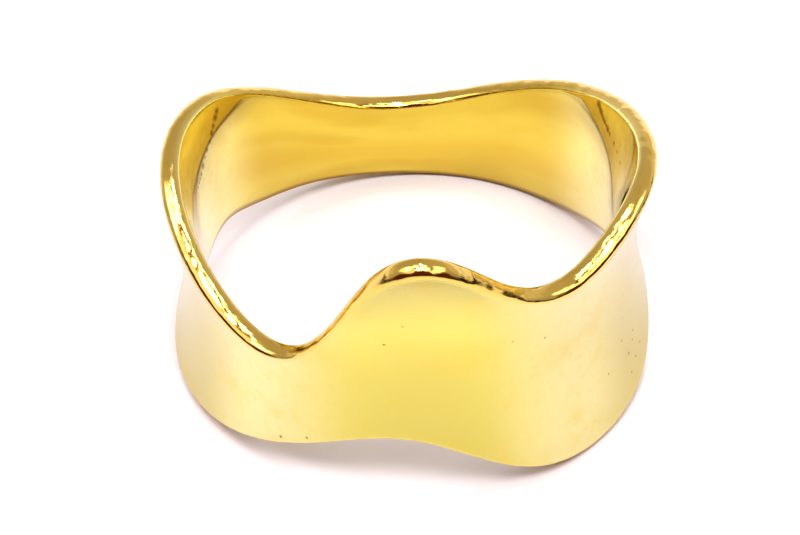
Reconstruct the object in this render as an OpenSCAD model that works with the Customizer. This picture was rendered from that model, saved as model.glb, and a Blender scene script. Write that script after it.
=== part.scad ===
// Wavy band ring lying on its side, cast in one piece and plated.
// Millimetres. Z is the axis of the finger hole, the tall wave of the front faces -Y, and the
// origin is where that axis meets the surface that the ring lies on.

/* [Band] */
// Inner diameter at the narrowest height of the hole
inner_d = 17.3; // [15:0.1:21]
// Thickness of the wall
wall_t = 0.86; // [0.6:0.02:1.2]
// Radius of the wall's hollow bow, which flares both edges outwards
bow_r = 17; // [14:0.5:40]
// Height of the waist, where the bow is narrowest
waist_level = 5.8; // [5:0.1:6.5]
// How far the waist follows the waves of the band, from 0 for level to 1 for all the way
waist_follow = 0.45; // [0:0.05:1]
// Height of the low dome on the face of each edge
dome_h = 0.26; // [0.14:0.02:0.4]

/* [Upper edge] */
// Height of the upper edge between its crests and dips
upper_level = 8.4; // [8:0.1:10]
// Rise of the crest in the middle of the front
front_crest = 7; // [4:0.1:8]
// Rise of the crest at the left
left_crest = 2.3; // [0:0.05:3]
// Rise of the long crest at the right
right_crest = 3.35; // [0:0.05:4]
// Depth of the dip at the back
back_dip = 3.8; // [0:0.05:4.5]

/* [Lower edge] */
// Rise of the arch under the front
front_arch = 3.35; // [0:0.05:4]
// Rise of the arch at the right
right_arch = 2.15; // [0:0.05:3]
// Rise of the arch at the back
back_arch = 1.05; // [0:0.05:1.6]
// Rise of the arch at the left, beside the one at the back
left_arch = 2; // [0:0.05:2.4]

/* [Smoothness] */
// Sections round the ring
stations = 216; // [120:12:216]
// Facets of each wall from edge to edge
wall_facets = 7; // [5:1:8]
// Facets across the dome of each edge
dome_facets = 5; // [4:1:6]

/* [Hidden] */
plating = [0.94, 0.8, 0.38];

// Columns of the swell tables: angle from +X, height in mm, and spread to each side in degrees
ANGLE = 0;
LIFT = 1;
SPREAD = 2;

upper_swells = [
    [92, -back_dip, 31],    // dip at the back
    [162, left_crest, 29],  // crest at the left
    [240, -2.05, 25],       // dip at the front left
    [269, front_crest, 15], // crest of the front
    [313, -0.8, 12],        // dip at the front right
    [335, right_crest, 37]  // crest at the right
];

lower_swells = [
    [8, right_arch, 17.5],    // arch at the right
    [130, back_arch, 20],     // arch at the back
    [155.5, left_arch, 12.5], // arch at the left
    [240, 1.28, 20.5],        // rise left of the front arch
    [269, front_arch, 19],    // arch under the front
    [295, -0.4, 16]           // low stretch right of the front arch
];

bow_centre = inner_d / 2 + wall_t / 2 + bow_r;
section_points = 2 * (wall_facets + dome_facets);

function sum(v, i = 0) = i < len(v) ? v[i] + sum(v, i + 1) : 0;

// Height that one swell adds at an angle round the ring
function swell(row, angle) =
    row[LIFT] * exp((cos(angle - row[ANGLE]) - 1) * pow(180 / PI / row[SPREAD], 2));

function upper_z(angle) = upper_level + sum([for (row = upper_swells) swell(row, angle)]);
function lower_z(angle) = sum([for (row = lower_swells) swell(row, angle)]);

// Point of a wall on the bow: radius from the bow's centre, angle up the bow, height of the waist
function on_bow(r, u, waist) = [bow_centre - r * cos(u), waist + r * sin(u)];

// Point on the dome of the edge at angle u up the bow: side is 1 for the upper edge and -1 for the
// lower, and turn goes from 0 at the inner wall to 180 at the outer wall
function on_dome(u, side, turn, waist) = let (
    along = side * [sin(u), cos(u)],
    across = [cos(u), -sin(u)]
) on_bow(bow_r, u, waist) - across * wall_t / 2 * cos(turn) + along * dome_h * sin(turn);

// Closed section of the band as [radius, height]: inner wall, upper edge, outer wall, lower edge
function section(angle) = let (
    top = upper_z(angle),
    bottom = lower_z(angle),
    waist = waist_level + waist_follow * ((top + bottom) / 2 - waist_level),
    up = asin((top - dome_h - waist) / bow_r),
    down = asin((bottom + dome_h - waist) / bow_r),
    rise = (up - down) / wall_facets,
    turn = 180 / dome_facets
) concat(
    [for (i = [0 : wall_facets - 1]) on_bow(bow_r + wall_t / 2, down + rise * i, waist)],
    [for (i = [0 : dome_facets - 1]) on_dome(up, 1, turn * i, waist)],
    [for (i = [0 : wall_facets - 1]) on_bow(bow_r - wall_t / 2, up - rise * i, waist)],
    [for (i = [0 : dome_facets - 1]) on_dome(down, -1, 180 - turn * i, waist)]
);

function turned(p, angle) = [p[0] * cos(angle), p[0] * sin(angle), p[1]];

// The whole ring: one band with both edges waved, its walls hollowed and its edges domed
module ring_band() {
    skin = [
        for (s = [0 : stations - 1], p = section(360 * s / stations)) turned(p, 360 * s / stations)
    ];
    lowest = min([for (p = skin) p[2]]);
    faces = [
        for (s = [0 : stations - 1], k = [0 : section_points - 1]) let (
            here = s * section_points,
            next = ((s + 1) % stations) * section_points,
            l = (k + 1) % section_points
        ) each [[here + k, next + l, here + l], [here + k, next + k, next + l]]
    ];
    color(plating)
        translate([0, 0, -lowest])
            polyhedron(points = skin, faces = faces, convexity = 6);
}

ring_band();
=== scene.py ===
import math
import random
from functools import partial

import bpy
from mathutils import Matrix, Vector


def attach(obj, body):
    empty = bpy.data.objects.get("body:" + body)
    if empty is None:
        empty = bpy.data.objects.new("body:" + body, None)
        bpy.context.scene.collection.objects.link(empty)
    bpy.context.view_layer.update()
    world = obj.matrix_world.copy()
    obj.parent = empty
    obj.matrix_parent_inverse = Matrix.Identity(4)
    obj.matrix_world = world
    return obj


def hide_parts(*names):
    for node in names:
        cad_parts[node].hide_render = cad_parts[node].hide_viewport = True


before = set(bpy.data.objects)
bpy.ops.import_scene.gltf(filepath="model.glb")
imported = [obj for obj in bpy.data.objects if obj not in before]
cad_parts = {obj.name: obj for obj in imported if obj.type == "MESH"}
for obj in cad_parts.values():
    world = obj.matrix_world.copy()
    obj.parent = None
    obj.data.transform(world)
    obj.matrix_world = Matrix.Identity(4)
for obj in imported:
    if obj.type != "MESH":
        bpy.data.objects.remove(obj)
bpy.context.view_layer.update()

mm = 0.001
maths, vectorMaths, mapRange = "ShaderNodeMath", "ShaderNodeVectorMath", "ShaderNodeMapRange"
smooth = {"interpolation_type": "SMOOTHSTEP"}
print("frame loaded")


# turns an sRGB hex value to the linear colour that Blender takes
def hexColour(value):
    parts = [int(value[i:i + 2], 16) / 255 for i in (1, 3, 5)]
    return tuple(p / 12.92 if p <= 0.04045 else ((p + 0.055) / 1.055) ** 2.4 for p in parts) + (1.0,)


# adds a node with its settings and links, and gives one output, or all where out is None; the inputs
# come in order, or by name or number in a dictionary, and what isn't a socket to link is a value
def addNode(tree, kind, *inputs, out=0, **settings):
    node = tree.nodes.new(kind)
    for name, value in settings.items():
        setattr(node, name, value)
    given = {}
    for place, value in enumerate(inputs):
        given.update(value if isinstance(value, dict) else {place: value})
    for key, value in given.items():
        if isinstance(value, bpy.types.NodeSocket):
            tree.links.new(value, node.inputs[key])
        else:
            node.inputs[key].default_value = value
    return node.outputs if out is None else node.outputs[out]


# the camera stands in front of the ring and looks down on it, with the slight roll of the photograph
camera = {
    "elevation": 46.5,            # degrees above the floor
    "roll": -3.15,                # degrees, the ring leans this much to the left in the frame
    "distance": 130 * mm,
    "aim": (-0.44, -0.15, 3.85),  # mm
    "lens": 138.7,                # mm
    "sensor": 36,                 # mm
    "nearest": 1 * mm,
}


def makeCamera():
    tilt, roll = math.radians(camera["elevation"]), math.radians(camera["roll"])
    ahead = Vector((0, math.cos(tilt), -math.sin(tilt)))
    level = Vector((1, 0, 0))
    above = level.cross(ahead)
    right = level * math.cos(roll) + above * math.sin(roll)
    up = above * math.cos(roll) - level * math.sin(roll)
    stand = Vector(camera["aim"]) * mm - ahead * camera["distance"]
    eye = bpy.data.objects.new("camera", bpy.data.cameras.new("camera"))
    eye.data.lens = camera["lens"]
    eye.data.sensor_width = camera["sensor"]
    eye.data.clip_start = camera["nearest"]
    eye.matrix_world = Matrix.Translation(stand) @ Matrix((right, up, -ahead)).transposed().to_4x4()
    bpy.context.scene.collection.objects.link(eye)
    bpy.context.scene.camera = eye


makeCamera()
print("camera placed")


ring = {
    # mm, the same named sizes as in the CAD source
    "sizes": {
        "Inner radius": 8.65,
        "Wall": 0.86,
        "Bow radius": 17,
        "Waist level": 5.8,
        "Dome height": 0.26,
        "Upper level": 8.4,
    },
    "waist follow": 0.45,     # of the band's waves, from 0 for a level waist to 1
    # swells of each edge: angle from +X, lift in mm, and spread to each side in degrees
    "upper swells": {
        "Back dip": (92, -3.8, 31),
        "Left crest": (162, 2.3, 29),
        "Front left dip": (240, -2.05, 25),
        "Front crest": (269, 7, 15),
        "Front right dip": (313, -0.8, 12),
        "Right crest": (335, 3.35, 37),
    },
    "lower swells": {
        "Right arch": (8, 2.15, 17.5),
        "Back arch": (130, 1.05, 20),
        "Left arch": (155.5, 2, 12.5),
        "Front left rise": (240, 1.28, 20.5),
        "Front arch": (269, 3.35, 19),
        "Front right low": (295, -0.4, 16),
    },
    # the unevenness that hand polishing leaves: height in mm, waves to a millimetre, and detail
    "polish": {
        "Polish waves": (0.008, 0.3, 1.0),
        "Rim waves": (0.03, 1.1, 1.0),       # along the rims, where the wheel skipped
        "Rim ripples": (0.005, 5.0, 1.5),    # the finer ripples on top of them
    },
    "polish roughness": 0.45,
    "outside": (0.55, 0.95),  # how far over the upper dome the outer wall's finish starts and is full
    "footShade": 14,            # the painted shade along the foot reaches up a 14th of the inner wall
    "stations": 640,          # sections round the ring
    "wall steps": 38,
    "dome steps": 18,
    "merge distance": 0.002,  # mm, closes the seams of the grid
}


# a tree of the ring: a grid wrapped round the finger hole, its section worked out at each angle
def ringTree(material):
    tree = bpy.data.node_groups.new("wavy band", "GeometryNodeTree")
    add = partial(addNode, tree)
    values = {name: size * mm for name, size in ring["sizes"].items()}
    values["Waist follow"] = ring["waist follow"]
    for name, (angle, lift, spread) in {**ring["upper swells"], **ring["lower swells"]}.items():
        values[name + " angle"] = math.radians(angle)
        values[name + " lift"] = lift * mm
        values[name + " spread"] = math.radians(spread)
    for name, (height, _, _) in ring["polish"].items():
        values[name] = height * mm
    tree.interface.new_socket("Geometry", in_out="OUTPUT", socket_type="NodeSocketGeometry")
    for name in values:
        tree.interface.new_socket(name, in_out="INPUT", socket_type="NodeSocketFloat")
    sizes = add("NodeGroupInput", out=None)

    wallSteps, domeSteps = ring["wall steps"], ring["dome steps"]
    allSteps = 2 * (wallSteps + domeSteps)
    grid = add("GeometryNodeMeshGrid", 1.0, 1.0, allSteps + 1, ring["stations"] + 1, out=None)
    place = add("ShaderNodeSeparateXYZ", grid["UV Map"], out=None)
    along = add(maths, place["X"], float(allSteps), operation="MULTIPLY")
    angle = add(maths, place["Y"], math.tau, operation="MULTIPLY")

    # height of each edge: its level, and a bell for every swell
    edges = []
    for swells, edge in ((ring["upper swells"], sizes["Upper level"]), (ring["lower swells"], 0.0)):
        for name in swells:
            apart = add(maths, angle, sizes[name + " angle"], operation="SUBTRACT")
            turn = add(maths, add(maths, apart, operation="COSINE"), 1.0, operation="SUBTRACT")
            sharp = add(maths, sizes[name + " spread"], sizes[name + " spread"], operation="MULTIPLY")
            bell = add(maths, add(maths, turn, sharp, operation="DIVIDE"), operation="EXPONENT")
            edge = add(maths, bell, sizes[name + " lift"], edge, operation="MULTIPLY_ADD")
        edges.append(edge)
    top, bottom = edges
    middle = add(maths, add(maths, top, bottom, operation="ADD"), 0.5, operation="MULTIPLY")
    off = add(maths, middle, sizes["Waist level"], operation="SUBTRACT")
    drift = add(maths, off, sizes["Waist follow"], operation="MULTIPLY")
    waist = add(maths, sizes["Waist level"], drift, operation="ADD")

    # angles up the bow at which the domes of the upper and the lower edge begin
    ends = []
    for edge, inwards in ((top, "SUBTRACT"), (bottom, "ADD")):
        start = add(maths, edge, sizes["Dome height"], operation=inwards)
        rise = add(maths, start, waist, operation="SUBTRACT")
        share = add(maths, rise, sizes["Bow radius"], operation="DIVIDE")
        ends.append(add(maths, share, operation="ARCSINE"))
    up, down = ends

    # how far along each of the four stretches of the section
    stretches, first = [], 0
    for steps in (wallSteps, domeSteps, wallSteps, domeSteps):
        stretches.append(add(mapRange, along, float(first), float(first + steps)))
        first += steps
    inner, upper, outer, lower = stretches

    # the section: an angle up the bow, how far across the wall, and how proud on the domes
    climb = add(maths, inner, outer, operation="SUBTRACT")
    tilt = add(maths, climb, add(maths, up, down, operation="SUBTRACT"), down, operation="MULTIPLY_ADD")
    onDome = add(maths, upper, lower, operation="SUBTRACT")
    halfTurn = add(maths, onDome, math.pi, operation="MULTIPLY")
    half = add(maths, sizes["Wall"], -0.5, operation="MULTIPLY")
    across = add(maths, add(maths, halfTurn, operation="COSINE"), half, operation="MULTIPLY")
    humps = [add(maths, add(maths, dome, math.pi, operation="MULTIPLY"), operation="SINE")
             for dome in (upper, lower)]
    bulge = add(maths, *humps, operation="SUBTRACT")
    proud = add(maths, bulge, sizes["Dome height"], operation="MULTIPLY")
    sine, cosine = add(maths, tilt, operation="SINE"), add(maths, tilt, operation="COSINE")
    reach = add(maths, sizes["Bow radius"], across, operation="SUBTRACT")
    midWall = add(maths, sizes["Inner radius"], half, operation="SUBTRACT")
    centre = add(maths, midWall, sizes["Bow radius"], operation="ADD")
    bowIn = add(maths, centre, add(maths, reach, cosine, operation="MULTIPLY"), operation="SUBTRACT")
    radius = add(maths, sine, proud, bowIn, operation="MULTIPLY_ADD")
    bowUp = add(maths, cosine, proud, add(maths, reach, sine, operation="MULTIPLY"), operation="MULTIPLY_ADD")
    height = add(maths, waist, bowUp, operation="ADD")
    circle = [add(maths, angle, operation=wave) for wave in ("COSINE", "SINE")]
    flat = [add(maths, radius, part, operation="MULTIPLY") for part in circle]
    shape = add("ShaderNodeCombineXYZ", *flat, height)
    wrapped = add("GeometryNodeSetPosition", grid["Mesh"], {"Position": shape})

    # where the plating is: outside is 0 on the inner wall and 1 on the outer one, rim is 1 along an edge,
    # foot is 1 where the inner wall meets the lower edge, for the painted shade there, and lie runs along
    # and across the band
    aboveFoot = add(maths, inner, float(ring["footShade"]), operation="MULTIPLY")
    footShade = add(maths, 1.0, add(maths, aboveFoot, 1.0, operation="MINIMUM"), operation="SUBTRACT")
    over = add(maths, along, float(domeSteps), operation="DIVIDE")
    named = wrapped
    for name, kind, value in (
            ("outside", "FLOAT", add(mapRange, onDome, *ring["outside"], **smooth)),
            ("rim", "FLOAT", add(maths, bulge, operation="ABSOLUTE")),
            ("foot", "FLOAT", add(maths, footShade, lower, operation="ADD")),
            ("lie", "FLOAT_VECTOR", add("ShaderNodeCombineXYZ", *circle, over))):
        named = add("GeometryNodeStoreNamedAttribute", named, {"Name": name, "Value": value},
                    data_type=kind, domain="POINT")
    closed = add("GeometryNodeMergeByDistance", named, {"Distance": ring["merge distance"] * mm})

    # set down on its lowest points
    here = add("GeometryNodeInputPosition")
    heights = add("ShaderNodeSeparateXYZ", here, out="Z")
    lowest = add("GeometryNodeAttributeStatistic", closed, {"Attribute": heights}, out="Min")
    drop = add("ShaderNodeCombineXYZ", {"Z": add(maths, lowest, -1.0, operation="MULTIPLY")})
    stood = add("GeometryNodeSetPosition", closed, {"Offset": drop})

    # the unevenness of polishing, inwards and outwards along the surface normal
    waves = {}
    for name, (_, number, detail) in ring["polish"].items():
        noise = add("ShaderNodeTexNoise", {"Vector": here, "Scale": number / mm, "Detail": detail,
                                           "Roughness": ring["polish roughness"]})
        swing = add(maths, noise, 0.5, operation="SUBTRACT")
        twice = add(maths, sizes[name], 2.0, operation="MULTIPLY")
        waves[name] = add(maths, swing, twice, operation="MULTIPLY")
    onRim = add("GeometryNodeInputNamedAttribute", {"Name": "rim"}, data_type="FLOAT")
    rimLift = add(maths, waves["Rim waves"], waves["Rim ripples"], operation="ADD")
    lift = add(maths, rimLift, onRim, waves["Polish waves"], operation="MULTIPLY_ADD")
    outward = add(vectorMaths, add("GeometryNodeInputNormal"), {"Scale": lift}, operation="SCALE")
    polished = add("GeometryNodeSetPosition", stood, {"Offset": outward})
    shaded = add("GeometryNodeSetShadeSmooth", polished)
    real = add("GeometryNodeRealizeInstances", shaded)
    painted = add("GeometryNodeSetMaterial", real, {"Material": material})
    add("NodeGroupOutput", painted, out=None)
    return tree, values


def makeRing(material):
    tree, values = ringTree(material)
    holder = bpy.data.objects.new("band rule", bpy.data.meshes.new("band rule"))
    bpy.context.scene.collection.objects.link(holder)
    modifier = holder.modifiers.new("wavy band", "NODES")
    modifier.node_group = tree
    for socket in tree.interface.items_tree:
        if socket.item_type == "SOCKET" and socket.in_out == "INPUT":
            modifier[socket.identifier] = values[socket.name]
    graph = bpy.context.evaluated_depsgraph_get()
    mesh = bpy.data.meshes.new_from_object(holder.evaluated_get(graph))
    bpy.data.objects.remove(holder)
    mesh.name = "wavy band"
    band = bpy.data.objects.new("wavyBand", mesh)
    bpy.context.scene.collection.objects.link(band)
    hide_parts("ring_band")
    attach(band, "root")
    return band


plating = {
    # colours at full reflection, the outside paler for its fine handling haze
    "inside": "#DCC75A",
    "streaks_and_shade_belt": "#CBAC40",                 # warmer inside: in streaks along the band, and in a belt round the waist that is painted shade, where the inner wall reflects a dim patch of floor
    "inside at the sides": "#FFF8B6",   # painted highlight: paler towards the sides, where the inner wall reflects brightly lit floor
    "outside": "#D0C66C",
    # painted highlight: paler beside the middle of the outer wall, where it reflects brighter floor
    "outside, beside the middle": "#DDD59E",
    # painted shade: duller again at the far sides of the outer wall, where it reflects dimmer floor
    "outside at the sides": "#CDC28B",
    "clouds": "#D4BC52",                # warmer again, in patches on both walls
    "rims": "#EDCC72",
    "foot": "#8A5A18",                  # painted shade along the lower edge, inside, where the wall reflects the dark contact under the ring
    # the colour of the pits, specks and nicks, and of the painted shadow lines down the inner wall
    "marks and shadow lines": "#70480F",
    # patterns: how many to a millimetre, or round and across the band, and how detailed
    "patterns": {
        "clouds": (1 / 2.6, 5.0),
        "freckles": (2.2, 4.0),
        "grain": (7.0, 3.0),                 # of buffing, drawn coarser than the real one so that it shows
        "streaks": ((1.3, 1.3, 1.7), 1.5),
        "facets": ((9.0, 9.0, 0.8), 1.0),    # broad marks of the wheel along the rims
        "lines": ((14.0, 14.0, 9.0), 2.0),   # fine ones over them
    },
    "pattern roughness": 0.6,
    # ramps: where each starts and is full, and then the strength at both, where it isn't 0 and 1
    "ramps": {
        "streaks": (0.42, 0.66, 0.0, 0.6),
        "waist, lower side": (0.3, 0.75, 0.0, 0.6),   # of the painted shade belt round the inner wall
        "waist, upper side": (1.4, 0.85),
        "clouds": (0.45, 0.75, 0.0, 0.4),
        "freckles": (0.5, 0.8, 0.0, 0.32),
        "foot": (0.2, 1.0, 0.0, 0.85),
        "inside at the sides": (6 * mm, 9 * mm),
        "outside, beside the middle": (2 * mm, 6.5 * mm),
        "outside at the sides": (7 * mm, 9 * mm),
        "roughness": (0.35, 0.75, 0.1, 0.2),
        "haze": (0.0, 1.0, 0.4, 1.0),        # the inner wall is the crisper mirror
    },
    "dot end": 1.15,          # of a dot's radius
    "dot core": 0.2,          # the same
    "dot strength": 0.78,
    "bump": 0.012,            # mm
    "facets to lines": 5.0,   # how much higher they are
    # pits and stains: name, angle from +X in degrees, height and distance from the axis in mm, radius
    "marks": [
        ("pit on the front", 262.7, 9.51, 9.67, 0.075),
        ("pit under the crest", 267.3, 10.75, 9.85, 0.06),
        ("scratch at the front right", 302.0, 7.84, 9.65, 0.07),
        ("dot at the front right", 293.1, 8.51, 9.69, 0.06),
        ("speck at the right", 338.4, 2.95, 9.77, 0.07),
        ("speck at the right", 337.0, 2.63, 9.83, 0.06),
        ("speck at the right", 331.8, 3.4, 9.69, 0.07),
        ("speck at the right", 333.8, 2.36, 9.88, 0.08),
        ("speck at the right", 336.5, 1.76, 10.03, 0.07),
        ("speck at the right", 332.8, 1.46, 10.09, 0.06),
        ("speck at the right", 323.9, 2.72, 9.78, 0.06),
        ("speck at the right", 340.4, 1.91, 10.0, 0.07),
        ("speck at the right", 333.6, 4.45, 9.57, 0.05),
        ("speck at the right", 334.6, 5.59, 9.51, 0.05),
        ("nick in the lower edge", 234.4, 2.43, 9.75, 0.09),
        ("nick in the lower edge", 241.8, 3.01, 9.71, 0.08),
        ("stain inside at the right", 5.7, 10.56, 9.22, 0.1),
    ],
    # the two broken lines of painted shadow down the inner wall, where it reflects the dark gap under the
    # opposite lower edge: angle, height and distance from the axis
    "painted shadow lines": {
        "left": [(149.7, 9.17, 9.03), (156.6, 8.39, 8.88), (165.8, 7.83, 8.8), (171.9, 7.63, 8.78)],
        "right": [(23.9, 9.11, 9.0), (20.4, 8.8, 8.92), (15.4, 8.65, 8.86), (0.4, 8.73, 8.83)],
    },
    "dots to a stretch": 4,
    "dot drift": 0.3,         # of the step to the next dot
    "dot radius": 0.25,       # mm, in the first stretch
    "dot shrink": 0.05,       # mm, from each stretch to the next
    "smallest dot": 0.6,      # of that radius
    "dot spread": 0.5,        # the same, what chance adds
}


# dots of uneven size along a painted shadow line, thinning out downwards
def lineDots(name, points):
    chance = random.Random(name)
    dots = []
    for i, (start, end) in enumerate(zip(points, points[1:])):
        radius = plating["dot radius"] - plating["dot shrink"] * i
        for step in range(plating["dots to a stretch"]):
            part = (step + plating["dot drift"] * chance.random()) / plating["dots to a stretch"]
            place = [a + (b - a) * part for a, b in zip(start, end)]
            size = plating["smallest dot"] + plating["dot spread"] * chance.random()
            dots.append((name, *place, radius * size))
    return dots


# Zinc casting, copper struck and flash plated with pale gold, then buffed: a mirror with slow
# waves in it, lemon-coloured where it faces the light and brown where it faces the dark, drawn
# into fine lines along the rims and clouded and pitted on the walls
def goldPlating():
    material = bpy.data.materials.new("buffed gold plating on zinc")
    material.use_nodes = True
    tree = material.node_tree
    add = partial(addNode, tree)
    here = add("ShaderNodeTexCoord", out="Object")
    outside, rim, foot = [add("ShaderNodeAttribute", out="Fac", attribute_name=name)
                          for name in ("outside", "rim", "foot")]
    lie = add("ShaderNodeAttribute", out="Vector", attribute_name="lie")
    upWall = add("ShaderNodeSeparateXYZ", lie, out="Z")
    sideways = add(maths, add("ShaderNodeSeparateXYZ", here, out="X"), operation="ABSOLUTE")

    noise = {}
    for name, (number, detail) in plating["patterns"].items():
        if isinstance(number, tuple):
            vector, scale = add(vectorMaths, lie, number, operation="MULTIPLY"), 1.0
        else:
            vector, scale = here, number / mm
        noise[name] = add("ShaderNodeTexNoise", {"Vector": vector, "Scale": scale, "Detail": detail,
                                                 "Roughness": plating["pattern roughness"]})
    strength = {}
    for name, value in (
            ("streaks", noise["streaks"]),
            ("waist, lower side", upWall),
            ("waist, upper side", upWall),
            ("clouds", noise["clouds"]),
            ("freckles", noise["freckles"]),
            ("foot", foot),
            ("inside at the sides", sideways),
            ("outside, beside the middle", sideways),
            ("outside at the sides", sideways),
            ("roughness", noise["grain"]),
            ("haze", add(maths, outside, rim, operation="MAXIMUM"))):
        strength[name] = add(mapRange, value, *plating["ramps"][name], **smooth)
    # the belt round the waist is painted shade
    waist = add(maths, strength["waist, lower side"], strength["waist, upper side"], operation="MULTIPLY")
    streaks_and_shade_belt = add(maths, strength["streaks"], waist, operation="MAXIMUM")

    # dark dots: the real marks, and the painted shadow lines down the inner wall
    marksAndShadowLines = 0.0
    dots = plating["marks"] + [dot for line in plating["painted shadow lines"].items() for dot in lineDots(*line)]
    for _, angle, height, out, radius in dots:
        turn = math.radians(angle)
        spot = tuple(v * mm for v in (out * math.cos(turn), out * math.sin(turn), height))
        away = add(vectorMaths, here, spot, out="Value", operation="DISTANCE")
        end, core = plating["dot end"] * radius * mm, plating["dot core"] * radius * mm
        dot = add(mapRange, away, end, core, 0.0, plating["dot strength"], **smooth)
        marksAndShadowLines = add(maths, marksAndShadowLines, dot, operation="MAXIMUM")

    # the colours in layers: those of each wall, then what lies over both
    coat = {wall: hexColour(plating[wall]) for wall in ("inside", "outside")}
    for wall, name, share in (
            ("inside", "streaks_and_shade_belt", streaks_and_shade_belt),
            ("inside", "inside at the sides", strength["inside at the sides"]),
            ("outside", "outside, beside the middle", strength["outside, beside the middle"]),
            ("outside", "outside at the sides", strength["outside at the sides"])):
        coat[wall] = add("ShaderNodeMix", {0: share, 6: coat[wall], 7: hexColour(plating[name])}, out=2,
                         data_type="RGBA")
    colour = coat["inside"]
    for share, over in (
            (outside, coat["outside"]),
            (strength["clouds"], hexColour(plating["clouds"])),
            (strength["freckles"], hexColour(plating["clouds"])),
            (rim, hexColour(plating["rims"])),
            (strength["foot"], hexColour(plating["foot"])),
            (marksAndShadowLines, hexColour(plating["marks and shadow lines"]))):
        colour = add("ShaderNodeMix", {0: share, 6: colour, 7: over}, out=2, data_type="RGBA")

    rough = add(maths, strength["roughness"], strength["haze"], operation="MULTIPLY")
    worn = add(maths, noise["facets"], plating["facets to lines"], noise["lines"], operation="MULTIPLY_ADD")
    wornRim = add(maths, worn, rim, operation="MULTIPLY")
    bump = add("ShaderNodeBump", {"Strength": 1.0, "Distance": plating["bump"] * mm, "Height": wornRim})
    shader = tree.nodes["Principled BSDF"]
    shader.inputs["Metallic"].default_value = 1.0
    for name, value in (("Base Color", colour), ("Roughness", rough), ("Normal", bump)):
        tree.links.new(value, shader.inputs[name])
    return material


band = makeRing(goldPlating())
print("ring made:", len(band.data.polygons), "faces")


# a narrow board under the ring that joins a wide one behind it
board = {
    "colour": "#E6E2EA",
    "roughness": 0.35,
    # mm
    "left": -75,
    "right": 58,
    "front": -200,
    "join": 60,
    "back": 1200,
    "far": 900,   # half the width of the one behind
}


# white acrylic sheet, cast against glass and dulled by use: a pale, soft mirror
def makeFloor():
    material = bpy.data.materials.new("white acrylic board")
    material.use_nodes = True
    shader = material.node_tree.nodes["Principled BSDF"]
    shader.inputs["Base Color"].default_value = hexColour(board["colour"])
    shader.inputs["Roughness"].default_value = board["roughness"]
    left, right, front, join, back, far = [
        board[name] * mm for name in ("left", "right", "front", "join", "back", "far")]
    corners = [(left, front, 0), (right, front, 0), (right, join, 0), (far, join, 0),
               (far, back, 0), (-far, back, 0), (-far, join, 0), (left, join, 0)]
    mesh = bpy.data.meshes.new("floor")
    mesh.from_pydata(corners, [], [(0, 1, 2, 7), (7, 2, 3, 4, 5, 6)])
    mesh.materials.append(material)
    floor = bpy.data.objects.new("floor", mesh)
    bpy.context.scene.collection.objects.link(floor)


makeFloor()


tent = {
    # the tent and its lamps as the ring sees them, in degrees: the azimuth of the middle (0 is behind
    # the ring, 90 at its right, 180 where the camera is), half the width, the lowest and highest
    # elevation and the softness of the edge, then the brightness and the tint
    "lights": [
        ("grey cloth behind", 0, 98, -2, 100, 6, 0.54, "#FFF6EA"),
        ("pale foot of the cloth", 0, 75, -2, 14, 6, 0.2, "#FFFFFF"),
        ("lit side of the cloth", 40, 30, 8, 50, 8, 0.06, "#FFF0DC"),
        ("dark drape round the camera", 180, 81, -12, 100, 6, 0.15, "#F0843C"),
        ("small lamp overhead", 20, 28, 77, 87, 1.5, 20.0, "#FFFFFF"),
        ("strip lamp overhead, right half", 82, 10, 66, 87, 1.5, 8.0, "#FFFFFF"),
        ("strip lamp overhead, left half", 282, 10, 66, 87, 1.5, 8.0, "#FFFFFF"),
        ("main lamp over the camera", 180, 40, 61, 78, 3, 14.2, "#FFFFFF"),
        ("lamp at the front right", 132, 22, 48, 66, 3, 3.5, "#FFFFFF"),
        ("lamp at the right", 105, 32, 24, 42, 4, 1.9, "#FFFFFF"),
        ("lamp at the left", 268, 14, 40, 54, 3, 4.0, "#FFFFFF"),
        ("white curtain at the left", 250, 38, 28, 66, 5, 1.1, "#FFFFFF"),
    ],
    "background": "#FFFFFF",   # what the camera itself sees past the board
    "exposure": 0.15,
    "gamma": 0.83,
}


def makeWorld():
    world = bpy.data.worlds.new("light tent")
    world.use_nodes = True
    tree = world.node_tree
    tree.nodes.clear()
    add = partial(addNode, tree)
    way = add("ShaderNodeSeparateXYZ", add("ShaderNodeTexCoord", out="Generated"), out=None)
    azimuth = add(maths, way["X"], way["Y"], operation="ARCTAN2")
    elevation = add(maths, way["Z"], operation="ARCSINE")
    total = (0.0, 0.0, 0.0)
    for _, middle, half, low, high, soft, brightness, tint in tent["lights"]:
        turn = add(maths, azimuth, math.radians(middle), operation="SUBTRACT")
        apart = add(maths, add(maths, turn, operation="COSINE"), operation="ARCCOSINE")
        across, above, below = [
            add(mapRange, value, math.radians(start), math.radians(end), **smooth)
            for value, start, end in ((apart, half + soft, half - soft), (elevation, low - soft, low + soft),
                                      (elevation, high + soft, high - soft))]
        upright = add(maths, above, below, operation="MULTIPLY")
        patch = add(maths, across, upright, operation="MULTIPLY")
        share = add(maths, patch, brightness, operation="MULTIPLY")
        total = add(vectorMaths, hexColour(tint)[:3], share, total, operation="MULTIPLY_ADD")
    lit = add("ShaderNodeBackground", {"Color": total})
    pale = add("ShaderNodeBackground", {"Color": hexColour(tent["background"])})
    seen = add("ShaderNodeMixShader", add("ShaderNodeLightPath", out="Is Camera Ray"), lit, pale)
    add("ShaderNodeOutputWorld", {"Surface": seen}, out=None)
    scene = bpy.context.scene
    scene.world = world
    scene.view_settings.view_transform = "Standard"
    scene.view_settings.exposure = tent["exposure"]
    scene.view_settings.gamma = tent["gamma"]


makeWorld()
print("studio lit")
